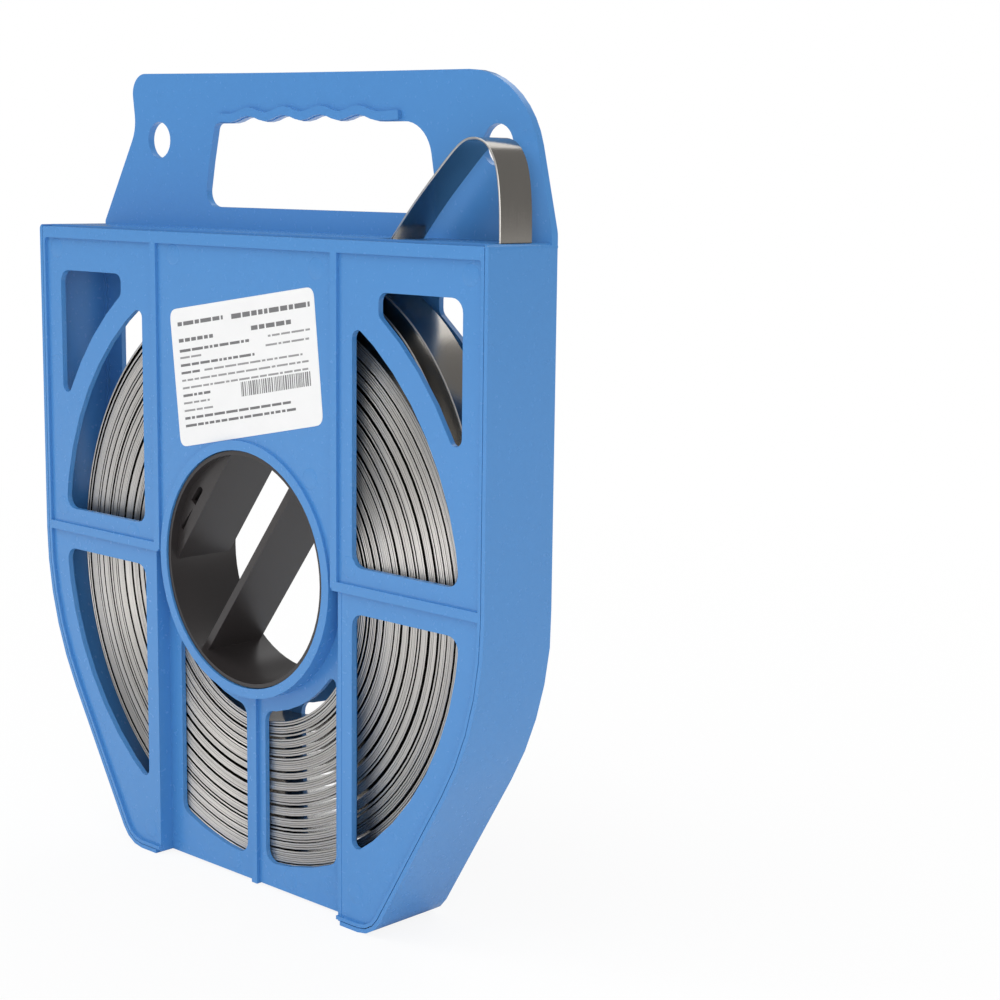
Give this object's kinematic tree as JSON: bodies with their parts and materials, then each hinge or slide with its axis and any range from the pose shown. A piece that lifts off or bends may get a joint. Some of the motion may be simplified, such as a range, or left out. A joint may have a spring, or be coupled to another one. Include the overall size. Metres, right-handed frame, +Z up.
{
  "type": "stainless steel banding strap in a carrier",
  "caption": "Coil of stainless steel banding strap wound on a black hub core, held in a flat blue plastic carrier with windows, two feet and a carrying handle.",
  "frame": {"origin": "centre of the bounding box's bottom, on the floor between the two feet", "axes": "+Z up along the height, +X to the right seen from the front, +Y from the front cover to the back tray through the thickness"},
  "size_m": [0.256, 0.0344, 0.3152],
  "materials": {
    "blue_plastic": "satin moulded blue",
    "black_plastic": "semi-matte moulded black",
    "stainless_steel": "bright rolled, fine lengthwise grain",
    "label_paper": "white paper sticker with grey print bars"
  },
  "bodies": {
    "carrier": {"carrier_front": "blue_plastic", "carrier_back": "blue_plastic", "strap_end": "stainless_steel"},
    "core": {"core": "black_plastic"},
    "coil": {"strap_coil": "stainless_steel"}
  },
  "joints": [
    {"name": "core_spin", "type": "hinge", "parent": "carrier", "child": "core", "pos_m": [0, 0, 0.1265], "axis": [0, 1, 0], "continuous": true},
    {"name": "coil_spin", "type": "hinge", "parent": "carrier", "child": "coil", "pos_m": [0, 0, 0.1213], "axis": [0, 1, 0], "continuous": true}
  ]
}
